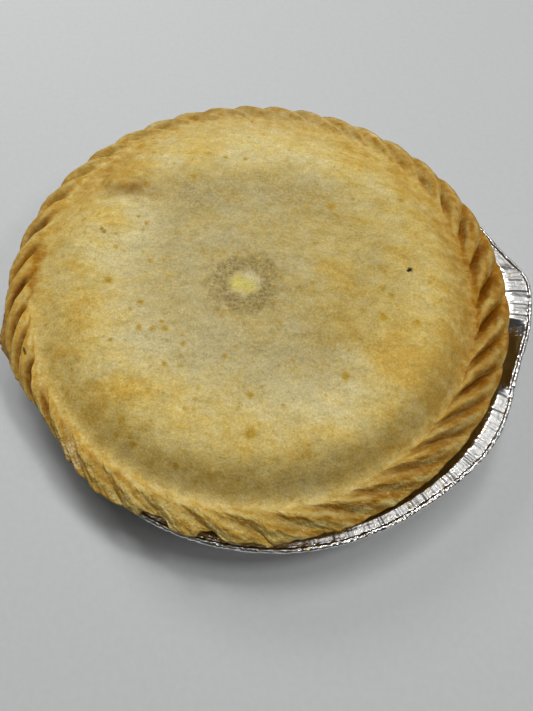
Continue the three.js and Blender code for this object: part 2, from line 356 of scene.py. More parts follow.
def side_ring(height):
    """Ring of the base crust's side: it hangs down from the rim, inside the foil wall."""
    reach, angle = polar(rim_ring(1.0)[::2])
    pushed_in = np.minimum(0, flange_bend(angle)) * WALL_BEND
    wall = wall_radius(height) + pushed_in - PLEAT_DEPTH - GAP
    return circle(angle, np.minimum(reach - UNDERSIDE_INSET, wall), height)


# ---------------------------------------------------------------- the foil dish's form

def flange_bend(angle):
    """How far the flange is bent out, a sum of bells: an ear on the right, pushed in just past
    it, a bulge on the near right, tucked under the crust at the back and near left."""
    ear = bells(angle, (10, 6.6, 5.9), (1, 11.9, 6.9), (29, 5, -2))
    bulge = bells(angle, (329, 14, 3.2), (285, 28, 1))
    return ear + bulge + bells(angle, (56, 28, -3.4), (228, 16, -4.4))


def flange_lift(angle):
    """How far the flange lifts along its edge: two slow waves, less a bell at the ear."""
    return 0.5 * wave(angle, 2, 60) + 0.3 * wave(angle, 7, 15) - 1.1 * bell(angle, 10, 12)


def folded_up(angle):
    """1 just below the ear, where the flange is folded up and the wall runs on to the bead."""
    return stretch(angle, 338, 344, 357, 359.5)


def pleats(angle):
    """Zigzag of the pleats, -1 to 1, whose creases stray from even spacing."""
    stray = 0.12 * ripples(angle * 2, 0, 9, seed=21)
    return 2 * np.abs(2 * ((angle * PLEATS / 360 + stray) % 1) - 1) - 1


def creases(angle):
    """Sharp radial creases pressed into the foil: the sum of narrow bells at seeded angles, of
    seeded depth."""
    chance = np.random.default_rng(24)
    places, depths = chance.uniform(0, 360, CREASES), chance.uniform(-1, 1, CREASES)
    return bells(angle, *[(place, CREASE_WIDTH, depth) for place, depth in zip(places, depths)])


def dish_ring(radius, height, bend, pleat, drop, tip):
    """Ring of the foil: a radius and height, plus its share of the flange's bends, pleats,
    creases and fold. tip is 0 on the wall and 1 on the flange, where creases lift the foil
    instead of moving it in and out, and faint bands run round it."""
    angle = around(DISH_POINTS)
    way = way_round(DISH_POINTS, DISH_RADIUS)
    ear = bell(angle, 4, 10)
    crease = 0.5 * PLEAT_DEPTH * pleats(angle) * (1 - 0.6 * tip)
    fine = (0.12 + 0.05 * ear) * ripples(way, radius / 9, 2.4, seed=22)
    crumple = (0.08 + 0.12 * ear) * ripples(way, radius / 5, 7, seed=23)
    bands = 0.05 * tip * np.sin(3.4 * radius + ripples(way, 0, 40, seed=25)) * (1 - ear)
    moved = pleat * (crease + fine + crumple + 0.3 * creases(angle))
    reach = radius + moved * (1 - tip) + flange_bend(angle) * bend
    level = height + flange_lift(angle) * bend - folded_up(angle) * drop + moved * tip + bands
    return circle(angle, reach, level)


def foil_stations(side):
    """Stations of one face of the foil from the floor to the bead: radius, height, bend, pleat,
    drop and tip of each. side is -1 underneath and 1 on top."""
    half = side * FOIL / 2
    flange = FLANGE_HEIGHT + half
    floor = FOIL / 2 + half
    return np.array([
        [DISH_FLOOR_RADIUS - CORNER, floor, 0, 0, 0, 0],
        [DISH_FLOOR_RADIUS + CORNER / 2 - half, FOIL + CORNER / 2 + half, 0, 0.3, 0, 0],
        [WALL_TOP_RADIUS - half, FLANGE_HEIGHT - NECK + half, WALL_BEND, 1, 1.2 * FOLD_DROP, 0],
        [WALL_TOP_RADIUS + NECK, flange - FOIL / 2, NECK_BEND, 1, FOLD_DROP, 0.7],
        [DISH_RADIUS - 2 * BEAD_RADIUS, flange, 1, 0.7, 0, 1],
    ])


def foil_rings(side, steps):
    """Rings of one face of the foil from the middle of its floor to the bead: the flat floor,
    then straight runs between the stations, each cut into its number of steps."""
    stations = foil_stations(side)
    at = np.concatenate([np.linspace(k, k + 1, n, endpoint=False) for k, n in enumerate(steps)])
    at = np.append(at, len(stations) - 1)
    table = np.stack([np.interp(at, np.arange(len(stations)), column) for column in stations.T], 1)
    floor = disc_rings(around(DISH_POINTS), stations[0, 1])
    return floor + [dish_ring(*row) for row in table]


def bead_ring(turn):
    """Ring of the rolled bead at a turn round its section, from underneath (-90) over the
    outside (0) to on top (90), squashed unevenly where the foil was rolled."""
    angle = around(DISH_POINTS)
    squash = 0.2 * np.abs(ripples(way_round(DISH_POINTS, DISH_RADIUS), turn / 50, 2.8, seed=31))
    size = BEAD_RADIUS * (1 - squash)
    reach = DISH_RADIUS - BEAD_RADIUS + size * math.cos(math.radians(turn)) + flange_bend(angle)
    level = FLANGE_HEIGHT + size * math.sin(math.radians(turn)) + flange_lift(angle)
    return circle(angle, reach, level)


# ---------------------------------------------------------------- where the crust is browned, and where shade is painted on it

# the toast, char and grey masks also carry painted shade in the rim's hollows, on the near flank
# and at the blister's foot
MASKS = ("rim", "toast", "char", "ash", "gold", "crumbs")

GOLD_PATCHES = [  # golden places on the lid: x, y, width, depth, strength
    (-68, 40, 13, 9, 0.45), (48, 4, 34, 46, 0.42), (-70, -32, 15, 13, 0.4), (-67, -17, 5, 3, 0.3),
    (-76, 15, 12, 8, 0.3), (-38, -64, 26, 9, 0.35), (-63, -44, 8, 6, 0.2), (27, -4, 11, 9, 0.26),
    (30, -24, 9, 9, 0.3), (56, -37, 18, 16, 0.5), (33, 64, 22, 10, 0.2), (-42, 62, 16, 10, 0.25),
    (-4, -78, 34, 10, 0.2), (-32, 48, 16, 7, 0.15), (18, -33, 5, 4, 0.25), (12, 28, 12, 10, 0.22),
    (-58, -66, 12, 8, 0.2),
]
PALE_PATCHES = [  # pale floury places, in the same way
    (-40, 12, 24, 14, 0.08), (-28, -42, 22, 11, 0.28), (16, -52, 20, 11, 0.25),
    (-49, -40, 10, 5, 0.15), (8, 34, 22, 10, 0.1), (-52, 0, 16, 12, 0.12),
]
GREY_PATCHES = [  # greyer places, and one that is less grey
    (52, 14, 26, 40, 0.14), (-46, 36, 20, 14, 0.3), (6, 44, 40, 12, 0.18),
    (24, -44, 20, 14, 0.12), (68, -42, 16, 16, 0.05), (28, 4, 12, 20, -0.2),
]
# the blister, browned, and painted shadow at its near foot
BLISTER_TOAST_AND_SHADOW = [(-68, 42, 13, 9, 0.22), (-65, 32, 12, 4, 0.5)]  # the blister and its near foot
MARK_MIDDLE = (-10.5, -11.8)  # of the mottled ring near the lid's middle


def masks(points, **values):
    """One value a point for each mask, 0 where none is given."""
    return {key: np.broadcast_to(values.get(key, 0.0), points) for key in MASKS}


def side_masks(points):
    """Masks of the rim's underside, the side and the base: evenly browned."""
    return masks(points, rim=1, toast=0.6, char=0.2, gold=0.9)


def lid_stain(angle, out):
    """Golden brown stain along the lid's edge on the left: 1 between two angles, for an uneven
    way to both sides of the edge (out 0)."""
    reach = 0.06 + 0.02 * ripples(2 * angle, 0, 9, seed=17) + 0.06 * bell(angle, 179, 2)
    return notch(angle % 360, 177, 191.5) * (1 - rise(np.abs(out), reach, reach + 0.2))


def rim_masks(out):
    """Masks of one ring of the rim. A strand is pale on its steep side and darkens down its
    gentle side to the next groove, partly browned and partly painted shade; the right is baked
    darkest and the near side least. The grooves of the near side and its inner edge carry
    painted grey shade, and those of the left are narrow and golden dark, partly painted shade."""
    angle, share, low, depth = rim_facts(out)
    luck = np.repeat(CRIMP_LUCK, RIM_POINTS // CRIMPS)
    cloud = ripples(way_round(RIM_POINTS, PIE_RADIUS), out * RIM_WIDTH * 1.5, 9, seed=41)
    right, near_right = bell(angle, 6, 31), bell(angle, 325, 32)
    left, near_left = bell(angle, 190, 26), bell(angle, 216, 14)
    near, far = bell(angle, 275, 34), bell(angle, 95, 48)

    groove = low * np.minimum(1, depth / 2.4)
    # the gentle side down to the next groove; the browning and char laid on it are partly painted
    # shade
    descent = rise(share, mix(0.35, 0.55, left), 0.9) * (1 - 0.6 * rise(share, 0.95, 1))
    # the groove bottoms; their toast and char on the near right and near left are partly painted
    # shade
    fissure = rise(low, 0.78, 1) * stretch(out, 0.02, 0.15, 0.6, 0.95)
    inner, midway = stretch(out, 0, 0.12, 0.45, 0.85), stretch(out, 0.12, 0.35, 0.6, 0.9)

    toast = 0.24 + 0.3 * right + 0.13 * near_right - 0.2 * near + 0.18 * far + 0.08 * cloud
    toast = toast * rise(out, -0.2, 0.25)
    toast = toast + descent * (0.36 * right + 0.18 * near_right + 0.4 * left)
    toast = toast + 0.5 * fissure * (near_right + near_left)
    toast = toast + bell(angle, 296, 24) * rise(out, 0.15, 0.5) * (0.19 + 0.1 * cloud)
    toast = toast + 0.6 * bell(angle, 2, 22) * (1 - rise(out, 0.03, 0.14))
    toast = toast + 0.55 * lid_stain(angle, out)

    # dark pockets by the grooves, partly charred and partly painted shade
    char = inner * (1.1 * right + 0.4 * near_right) + 0.05
    char = descent * (char + 0.9 * midway * (left + 0.6 * near_left)) * (0.5 + 0.7 * luck)
    char = char + (0.25 * fissure + 0.12 * midway) * near_right
    char = char + 0.3 * far * descent * rise(out, 0.6, 0.9) * luck

    # painted grey shade in the near side's grooves and along its inner edge
    ash = near * (0.3 * rise(groove, 0.35, 0.95) + 0.16 * (1 - rise(out, 0, 0.2)))
    gold = 0.92 - 0.38 * far - 0.12 * near + 0.12 * cloud
    gold = gold - 0.3 * (1 - rise(out, 0, 0.25)) * (near + near_left)
    rim = rise(out, 0, 0.3)
    return masks(RIM_POINTS, rim=rim, toast=toast, char=char, ash=ash, gold=gold,
                 crumbs=crumbly(angle) * rim)


def lid_masks(ring, share):
    """Masks of one ring of the lid: golden towards its edge, toasted at the edge on the right
    and the far left, golden, pale and greyer patches, the browned blister with painted shadow
    at its near foot, the mottled ring near the middle and a greyish band round the near flank,
    partly its own colour and partly painted shade."""
    x, y = ring[:, 0], ring[:, 1]
    angle = polar(ring, PIE_SHIFT)[1] % 360
    gold = 0.24 + 0.07 * ripples(x, y * 1.8, 26, seed=51)
    gold = gold + patches(x, y, GOLD_PATCHES) - patches(x, y, PALE_PATCHES)
    gold = gold + 0.5 * rise(share, 0.55, 0.85) * (1 - 0.55 * bell(angle, 108, 28))
    gold = gold - 0.3 * rise(share, 0.8, 0.86) * bell(angle, 275, 36)

    browned = bells(angle, (2, 42, 0.44), (175, 60, 0.1), (150, 16, 0.35), (90, 40, 0.2))
    # the second blister patch darkens its near foot as painted shadow
    toast = patches(x, y, BLISTER_TOAST_AND_SHADOW) + browned * rise(share, 0.68, 0.86)
    toast = toast + 0.55 * lid_stain(angle, past_lid(share))
    toast = toast + 0.5 * rise(share, 0.845, 0.873) * bell(angle, 2, 24)

    away = np.hypot(x - MARK_MIDDLE[0], y - MARK_MIDDLE[1]) + 1.6 * ripples(x, y, 6, seed=53)
    greyer = patches(x, y, GREY_PATCHES) + 0.36 * (1 - rise(share, 0.34, 0.62))
    # the greyish band on the near flank is partly its own colour and partly painted shade
    flank = stretch(share, 0.7, 0.78, 0.81, 0.86) * bell(angle, 285, 44)
    ash = np.maximum(0.7 * stretch(away, 4, 7, 11, 24), greyer) + 0.3 * flank
    return masks(len(ring), toast=toast, ash=ash, gold=gold)


# ---------------------------------------------------------------- meshes

def linked(name, data):
    """A new object that holds the data, in the scene."""
    piece = bpy.data.objects.new(name, data)
    bpy.context.scene.collection.objects.link(piece)
    return piece


def skin(name, rings, values=None):
    """Joins a row of rings into one closed mesh, in metres. The row runs outwards underneath, up
    the outside and back in over the top. Rings of one count are joined by quads, a ring of half
    the count by pentagons, and a single point by triangles. values holds one value a point for
    each named mask."""
    starts = np.cumsum([0] + [len(ring) for ring in rings])

    def point(k, i):
        """Numbers of the points i of ring k, counted on past its last one to its first."""
        return starts[k] + i % len(rings[k])

    faces = []
    for k in range(len(rings) - 1):
        below, above = len(rings[k]), len(rings[k + 1])
        here = np.arange(min(count for count in (below, above) if count > 1))
        if below == 1:
            corners = [point(k, 0 * here), point(k + 1, here + 1), point(k + 1, here)]
        elif above == 1:
            corners = [point(k, here), point(k, here + 1), point(k + 1, 0 * here)]
        elif below == 2 * above:
            corners = [point(k, 2 * here), point(k, 2 * here + 1), point(k, 2 * here + 2),
                       point(k + 1, here + 1), point(k + 1, here)]
        elif above == 2 * below:
            corners = [point(k, here), point(k, here + 1), point(k + 1, 2 * here + 2),
                       point(k + 1, 2 * here + 1), point(k + 1, 2 * here)]
        else:
            corners = [point(k, here), point(k, here + 1), point(k + 1, here + 1),
                       point(k + 1, here)]
        faces += np.stack(corners, axis=1).tolist()
    mesh = bpy.data.meshes.new(name)
    mesh.from_pydata(np.concatenate(rings) * MM, [], faces)
    mesh.polygons.foreach_set("use_smooth", np.ones(len(mesh.polygons), dtype=bool))
    for label, row in (values or {}).items():
        layer = mesh.attributes.new(label, "FLOAT", "POINT")
        layer.data.foreach_set("value", np.asarray(row, dtype=np.float32))
    mesh.update()
    return linked(name, mesh)


def lid_plan():
    """Number of points and share of the outline of each ring of the lid, from its edge to its
    middle. The number is halved where the ring has shrunk by about half."""
    plan = []
    for k, (start, end, count) in enumerate(LID_RUNS):
        plan += [(LID_POINTS // 2 ** k, share) for share in np.linspace(start, end, count)]
    return plan + [(1, 0.0)]


def pie_piece():
    """The whole pie as one closed mesh with its baking masks: out over its base, up its side,
    round the rim and in over the lid."""
    base = FOIL + GAP
    base_radius = wall_radius(base + CORNER) - PLEAT_DEPTH - GAP
    turned = sheared(around(LID_POINTS), 1.0)
    rings = disc_rings(turned, base)
    rings.append(circle(turned, base_radius - CORNER, base))
    rings.append(circle(turned, base_radius, base + CORNER))
    heights = np.linspace(SIDE_START, FLANGE_HEIGHT - NECK, SIDE_RINGS)
    rings += [side_ring(height) for height in heights]
    rings += [under_rim_ring(down) for down in np.linspace(1, 0, LOWER_EDGE_RINGS, endpoint=False)]
    values = [side_masks(len(ring)) for ring in rings]
    for out in np.linspace(1, 0, RIM_RINGS):
        rings.append(rim_ring(out))
        values.append(rim_masks(out))
    for points, share in lid_plan():
        rings.append(lid_ring(points, share))
        values.append(lid_masks(rings[-1], share))
    merged = {key: np.concatenate([value[key] for value in values]) for key in MASKS}
    return skin("pie_baked", rings, merged)


def dish_piece():
    """The foil dish as one closed mesh: its underside out to the bead, round the bead, and back
    in over its top."""
    bead = [bead_ring(turn) for turn in np.linspace(-80, 170, BEAD_RINGS)]
    rings = foil_rings(-1, UNDER_STEPS) + bead + foil_rings(1, TOP_STEPS)[::-1]
    return skin("foil_dish_pleated", rings)


# ---------------------------------------------------------------- shader helpers

def linear(red, green, blue):
    """Linear colour of an sRGB colour given as 0 to 255."""
    share = np.array([red, green, blue]) / 255
    value = np.where(share <= 0.04045, share / 12.92, ((share + 0.055) / 1.055) ** 2.4)
    return (*value.tolist(), 1.0)


def feed(tree, socket, value):
    """Links an output to a socket, or sets the socket's own value."""
    if isinstance(value, bpy.types.NodeSocket):
        tree.links.new(value, socket)
    else:
        socket.default_value = value


def add(tree, kind, settings=None, **inputs):
    """Adds a node with its settings. Each input is a value or the output that feeds it; the name
    of an input is its socket's, with _ for a space."""
    node = tree.nodes.new(kind)
    for key, value in (settings or {}).items():
        setattr(node, key, value)
    for key, value in inputs.items():
        feed(tree, node.inputs[key.replace("_", " ")], value)
    return node


def maths(tree, operation, first, second=0.0, third=0.0, clamp=False):
    """Output of a Math node."""
    node = add(tree, "ShaderNodeMath", dict(operation=operation, use_clamp=clamp))
    for socket, value in zip(node.inputs, (first, second, third)):
        feed(tree, socket, value)
    return node.outputs[0]


def vectors(tree, operation, first, second):
    """A Vector Math node of two inputs."""
    node = add(tree, "ShaderNodeVectorMath", dict(operation=operation))
    feed(tree, node.inputs[0], first)
    feed(tree, node.inputs[1], second)
    return node


def stretched(tree, place, scale):
    """A place stretched along the axes before a pattern reads it."""
    return vectors(tree, "MULTIPLY", place, scale).outputs[0]


def blend(tree, factor, first, second, how="MIX"):
    """Output of a colour Mix node."""
    node = add(tree, "ShaderNodeMix", dict(data_type="RGBA", blend_type=how, clamp_factor=True))
    for index, value in ((0, factor), (6, first), (7, second)):
        feed(tree, node.inputs[index], value)
    return node.outputs[2]


def mask(tree, name):
    """Output of one of the mesh's own masks."""
    return add(tree, "ShaderNodeAttribute", dict(attribute_name=name)).outputs["Fac"]


def millimetres(tree):
    """Object coordinates in millimetres."""
    place = add(tree, "ShaderNodeTexCoord").outputs["Object"]
    return stretched(tree, place, (1 / MM, 1 / MM, 1 / MM))


def relief_normal(tree, height):
    """Normal of a surface raised by a height in millimetres."""
    return add(tree, "ShaderNodeBump", Strength=1.0, Distance=MM, Height=height).outputs[0]


def mottle_group():
    """Node group: cloudy noise of one size in millimetres, from -1 to 1, for colour and relief."""
    group = bpy.data.node_groups.new("mottle", "ShaderNodeTree")
    face = group.interface
    face.new_socket("Place", in_out="INPUT", socket_type="NodeSocketVector")
    for name, value in (("Size", 2.0), ("Detail", 2.0), ("Fineness", 0.55)):
        socket = face.new_socket(name, in_out="INPUT", socket_type="NodeSocketFloat")
        socket.default_value = value
    face.new_socket("Value", in_out="OUTPUT", socket_type="NodeSocketFloat")
    enter, leave = group.nodes.new("NodeGroupInput"), group.nodes.new("NodeGroupOutput")
    scale = maths(group, "DIVIDE", 1.0, enter.outputs["Size"])
    noise = add(group, "ShaderNodeTexNoise", Vector=enter.outputs["Place"], Scale=scale,
                Detail=enter.outputs["Detail"], Roughness=enter.outputs["Fineness"])
    value = maths(group, "MULTIPLY_ADD", noise.outputs["Fac"], 4.0, -2.0)
    held = add(group, "ShaderNodeClamp", Value=value, Min=-1.0, Max=1.0)
    group.links.new(held.outputs[0], leave.inputs["Value"])
    return group


MOTTLE = mottle_group()


def mottle(tree, place, size, detail=2.0, fineness=0.55):
    """Output of the mottle group with its own size, detail and fineness: the share of its
    strength that each halving of the size keeps."""
    node = add(tree, "ShaderNodeGroup", dict(node_tree=MOTTLE), Place=place, Size=size,
               Detail=detail, Fineness=fineness)
    return node.outputs["Value"]


def new_material(name):
    """A material with an empty tree, its Principled shader and its output."""
    material = bpy.data.materials.new(name)
    material.use_nodes = True
    tree = material.node_tree
    tree.nodes.clear()
    shader = add(tree, "ShaderNodeBsdfPrincipled")
    output = add(tree, "ShaderNodeOutputMaterial")
    tree.links.new(shader.outputs[0], output.inputs["Surface"])
    return material, tree, shader


# ---------------------------------------------------------------- crust

FLOURY = linear(208, 194, 142)
STRAW = linear(208, 190, 130)
GOLD = linear(207, 184, 114)
OCHRE = linear(205, 177, 98)
BROWNED = linear(200, 164, 77)
# the next three colours also paint shade in the rim's hollows and on the near flank
TOAST_AND_SHADE = linear(152, 102, 24)
CHAR_AND_SHADE = linear(112, 64, 4)
GREY_AND_SHADE = linear(131, 112, 65)
FAT_SPOT = linear(176, 140, 40)
CHEESE = linear(206, 192, 104)
CREAM = linear(206, 196, 158)
CRUMB = linear(222, 196, 146)
NEAR_BLACK = linear(30, 30, 22)
HERB = linear(138, 104, 20)

FAT_SPOTS = [  # places where fat has come through the lid: x, y, radius
    (-61.5, 35.5, 1.7), (23.5, 33.5, 2.2), (33.1, -49.1, 1.9), (-50.3, -37.8, 1.6),
    (-44.7, -37.6, 1.5), (-40.0, -37.0, 1.5), (-67.3, -17.2, 1.9), (-61.6, 17.6, 1.1),
    (-57.4, 14.3, 1.3), (-80.0, 17.9, 1.1), (-52.0, -5.2, 1.2), (-51.8, -25.9, 1.4),
    (-41.8, -34.0, 1.0), (-31.9, -42.8, 1.2), (-14.7, -46.0, 1.2), (-37.7, -52.1, 1.3),
    (-3.2, -61.1, 1.6), (-27.6, 57.4, 1.2), (-18.5, 57.4, 1.3), (-40.6, 43.1, 1.3),
    (-60.5, -44.4, 1.2), (-1.3, -75.9, 2.6), (56.1, 43.1, 1.7), (47.5, -6.9, 1.6),
    (51.3, -9.9, 1.6), (47.5, -21.0, 1.9), (61.6, -22.1, 2.0), (-50.0, -75.1, 1.7),
    (-44.7, -83.3, 1.4), (-27.5, -89.6, 1.2),
]
CHEESE_SPOTS = [(-13.0, -12.0, 4.4), (-9.6, -11.6, 4.6)]  # baked cheese near the middle
CREAM_SPOTS = [(-9.0, -7.8, 3.4), (-5.2, -10.0, 2.6)]  # paler cheese beside it
SPECK_SPOTS = [(59.4, 4.5, 1.3), (58.6, 3.9, 0.9)]  # black dot on the right of the lid
HERB_SPOTS = [(-76.2, 9.0, 1.1), (-74.6, 7.6, 1.2)]
# painted shade: the slit on the left of the rim is painted near-black
SLIT_SHADE_SPOTS = [(-95.8, -50.2, 0.45), (-96.2, -49.4, 0.6), (-96.7, -48.6, 0.6), (-97.1, -47.8, 0.45)]
HEAP_SPOTS = [(-69.0, -87.0, 3.2), (-65.5, -91.0, 2.6)]  # heap of crumbs on the near left rim


def spot_mask(tree, place, spots, ragged):
    """1 inside any of the round spots and 0 outside: the largest of each spot's fading disc,
    1.4 - 1.1 distance/radius, whose distance a ragged noise bends."""
    total = None
    for x, y, radius in spots:
        away = vectors(tree, "DISTANCE", place, (x, y, 0)).outputs["Value"]
        bent = maths(tree, "ADD", away, ragged)
        disc = maths(tree, "MULTIPLY_ADD", bent, -1.1 / radius, 1.4, clamp=True)
        total = disc if total is None else maths(tree, "MAXIMUM", total, disc)
    return total


def dots(tree, place, spacing, radius, kept):
    """Mask of scattered dots: 1 at the middle of a kept share of the cells of a cell pattern
    and 0 beyond the radius, which differs from dot to dot. Lengths are in millimetres."""
    cells = add(tree, "ShaderNodeTexVoronoi", dict(feature="F1"), Vector=place, Scale=1 / spacing,
                Randomness=1.0)
    chance = add(tree, "ShaderNodeSeparateColor", Color=cells.outputs["Color"]).outputs
    chosen = maths(tree, "LESS_THAN", chance[0], kept)
    size = maths(tree, "MULTIPLY_ADD", chance[1], radius, 0.5 * radius)
    away = maths(tree, "DIVIDE", maths(tree, "MULTIPLY", cells.outputs["Distance"], spacing), size)
    disc = maths(tree, "MULTIPLY_ADD", away, -1.6, 1.8, clamp=True)
    return maths(tree, "MULTIPLY", disc, chosen)


def gold_ramp(tree, tone):
    """Colour of the bare crust from floury (tone 0) to browned (tone 1)."""
    ramp = add(tree, "ShaderNodeValToRGB", Fac=tone)
    stops = ramp.color_ramp.elements
    stops[0].position, stops[0].color = 0.0, FLOURY
    stops[1].position, stops[1].color = 1.0, BROWNED
    for position, colour in ((0.25, STRAW), (0.5, GOLD), (0.75, OCHRE)):
        stops.new(position).color = colour
    return ramp.outputs["Color"]


def fat_spots(tree, flat, ragged):
    """Mask of the fat spots: those listed and two sizes of scattered dots, on the lid."""
    few = maths(tree, "MULTIPLY", dots(tree, flat, 9.0, 0.9, 0.45), 0.7)
    many = maths(tree, "MULTIPLY", dots(tree, flat, 4.0, 0.9, 0.5), 0.6)
    fat = maths(tree, "MAXIMUM", spot_mask(tree, flat, FAT_SPOTS, ragged), few)
    lid_only = maths(tree, "SUBTRACT", 1.0, mask(tree, "rim"), clamp=True)
    return maths(tree, "MULTIPLY", maths(tree, "MAXIMUM", fat, many), lid_only)


def crumb_spots(tree, place, flat, frayed, grain):
    """Mask of the pale crumbs: loose ones strewn over the crumbly rim, and the heap."""
    astray = maths(tree, "MULTIPLY", mottle(tree, place, 0.9, 2.0), 1.2)
    strewn = dots(tree, vectors(tree, "ADD", place, astray).outputs[0], 2.4, 0.6, 0.35)
    loose = maths(tree, "MULTIPLY", strewn, mask(tree, "crumbs"))
    grainy = maths(tree, "MULTIPLY_ADD", grain, 1.2, 0.5, clamp=True)
    heap = maths(tree, "MULTIPLY", spot_mask(tree, flat, HEAP_SPOTS, frayed), grainy)
    return maths(tree, "MAXIMUM", maths(tree, "MULTIPLY", loose, 0.7), heap)


def marked(tree, place, colour, grain):
    """The crust's colour with its marks laid over it one by one: fat spots, cheese, a black dot,
    painted shade in the slit, herbs and crumbs, each at its own strength."""
    flat = stretched(tree, place, (1, 1, 0))
    ragged = maths(tree, "MULTIPLY", mottle(tree, place, 1.5, 2.0), 0.5)
    frayed = maths(tree, "MULTIPLY", mottle(tree, place, 3.0, 4.0, 0.8), 1.4)
    layers = [
        (fat_spots(tree, flat, ragged), 0.9, FAT_SPOT),
        (spot_mask(tree, flat, CHEESE_SPOTS, frayed), 0.9, CHEESE),
        (spot_mask(tree, flat, CREAM_SPOTS, frayed), 0.5, CREAM),
        (spot_mask(tree, flat, SPECK_SPOTS, ragged), 1.0, NEAR_BLACK),
        # painted shade inside the slit
        (spot_mask(tree, flat, SLIT_SHADE_SPOTS, 0.0), 1.0, NEAR_BLACK),
        (spot_mask(tree, flat, HERB_SPOTS, ragged), 0.8, HERB),
        (crumb_spots(tree, place, flat, frayed, grain), 1.0, CRUMB),
    ]
    for spots, strength, paint in layers:
        colour = blend(tree, maths(tree, "MULTIPLY", spots, strength), colour, paint)
    return colour


def crust_material():
    """Baked shortcrust: floury to browned by patches, toasted, charred and greyed where its
    masks say, these three being partly painted shade in the rim's hollows, on the near flank
    and at the blister's foot, with its marks and an even mix of coarse and fine grain."""
    material, tree, shader = new_material("crust_baked")
    place = millimetres(tree)
    cloud = mottle(tree, stretched(tree, place, (0.7, 1, 1)), 11.0, 3.0)
    blotch = mottle(tree, stretched(tree, place, (0.8, 1, 1)), 3.4, 4.0)
    grain = mottle(tree, place, 0.9, 3.0, 0.7)
    flour = mottle(tree, stretched(tree, place, (0.6, 1, 1)), 5.0, 6.0, 1.0)

    tone = maths(tree, "MULTIPLY_ADD", cloud, 0.18, mask(tree, "gold"))
    tone = maths(tree, "MULTIPLY_ADD", blotch, 0.26, tone)
    tone = maths(tree, "MULTIPLY_ADD", flour, -0.2, tone)
    colour = gold_ramp(tree, tone)

    uneven = maths(tree, "MULTIPLY_ADD", grain, 0.5, 1.0)
    uneven = maths(tree, "MULTIPLY_ADD", blotch, 0.7, uneven)
    toast = maths(tree, "MULTIPLY", mask(tree, "toast"), uneven, clamp=True)
    patchy = maths(tree, "MULTIPLY_ADD", mottle(tree, place, 1.6, 3.0), 0.35, 1.0)
    char = maths(tree, "MULTIPLY", mask(tree, "char"), patchy, clamp=True)
    ash = mask(tree, "ash")
    squared = maths(tree, "MULTIPLY", ash, ash)
    ash = maths(tree, "MULTIPLY_ADD", mottle(tree, place, 1.4, 3.0, 0.8), squared, ash, clamp=True)
    # browning, charring and greying, which also lay on painted shade
    for strength, paint in ((toast, TOAST_AND_SHADE), (char, CHAR_AND_SHADE), (ash, GREY_AND_SHADE)):
        colour = blend(tree, strength, colour, paint)
    colour = marked(tree, place, colour, grain)

    light = maths(tree, "MULTIPLY_ADD", grain, 0.24, 1.0)
    light = maths(tree, "MULTIPLY_ADD", flour, 0.38, light)
    shade = add(tree, "ShaderNodeCombineColor", Red=light, Green=light, Blue=light).outputs[0]
    feed(tree, shader.inputs["Base Color"], blend(tree, 1.0, colour, shade, "MULTIPLY"))

    rough = maths(tree, "MULTIPLY_ADD", grain, 0.08, 0.66)
    feed(tree, shader.inputs["Roughness"], maths(tree, "MULTIPLY_ADD", char, -0.2, rough))
    shader.inputs["Specular IOR Level"].default_value = 0.15

    relief = maths(tree, "MULTIPLY_ADD", blotch, 0.05, maths(tree, "MULTIPLY", grain, 0.05))
    crumb = maths(tree, "MULTIPLY_ADD", mask(tree, "crumbs"), 0.24, 0.09)
    crumb = maths(tree, "MULTIPLY", crumb, mask(tree, "rim"))
    relief = maths(tree, "MULTIPLY_ADD", mottle(tree, place, 1.2, 3.0, 0.7), crumb, relief)
    feed(tree, shader.inputs["Normal"], relief_normal(tree, relief))
    return material


# ---------------------------------------------------------------- foil and floor

FOIL_BRIGHT = (0.8, 0.79, 0.77, 1.0)
FOIL_SMEAR_AND_GLINT = linear(214, 178, 78)
FLOOR_COLOURS = (linear(193, 195, 195), linear(197, 199, 198))
FLOOR_REACH = 2.0  # metres from the middle to each side


def foil_material():
    """Thin bright aluminium: finely crumpled, a little smeared with yellow fat, which also paints
    yellow glints reflected from the crust.
    """
    material, tree, shader = new_material("foil_bright")
    place = millimetres(tree)
    smear = mottle(tree, place, 2.6, 3.0, 0.7)
    # yellow patches: fat smears, partly painted yellow glints reflected from the crust
    smear_and_glint = maths(tree, "MULTIPLY_ADD", smear, 1.8, -0.6, clamp=True)
    feed(tree, shader.inputs["Base Color"], blend(tree, smear_and_glint, FOIL_BRIGHT, FOIL_SMEAR_AND_GLINT))
    shader.inputs["Metallic"].default_value = 1.0
    feed(tree, shader.inputs["Roughness"], maths(tree, "MULTIPLY_ADD", smear, 0.03, 0.12))
    coarse = maths(tree, "MULTIPLY", mottle(tree, place, 6.0, 1.0), 0.05)
    crumple = maths(tree, "MULTIPLY_ADD", mottle(tree, place, 1.6, 3.0, 0.7), 0.05, coarse)
    feed(tree, shader.inputs["Normal"], relief_normal(tree, crumple))
    return material


def floor_material():
    """Plain pale floor with a faint mottle."""
    material, tree, shader = new_material("floor_pale")
    faint = maths(tree, "MULTIPLY_ADD", mottle(tree, millimetres(tree), 3.0), 0.5, 0.5)
    feed(tree, shader.inputs["Base Color"], blend(tree, faint, *FLOOR_COLOURS))
    shader.inputs["Roughness"].default_value = 0.6
    shader.inputs["Specular IOR Level"].default_value = 0.0
    return material


def floor_piece(reach):
    """Flat square floor from -reach to reach in metres, at height 0."""
    mesh = bpy.data.meshes.new("floor")
    corners = [(-reach, -reach, 0), (reach, -reach, 0), (reach, reach, 0), (-reach, reach, 0)]
    mesh.from_pydata(corners, [], [(0, 1, 2, 3)])
    return linked("floor", mesh)


# ---------------------------------------------------------------- light

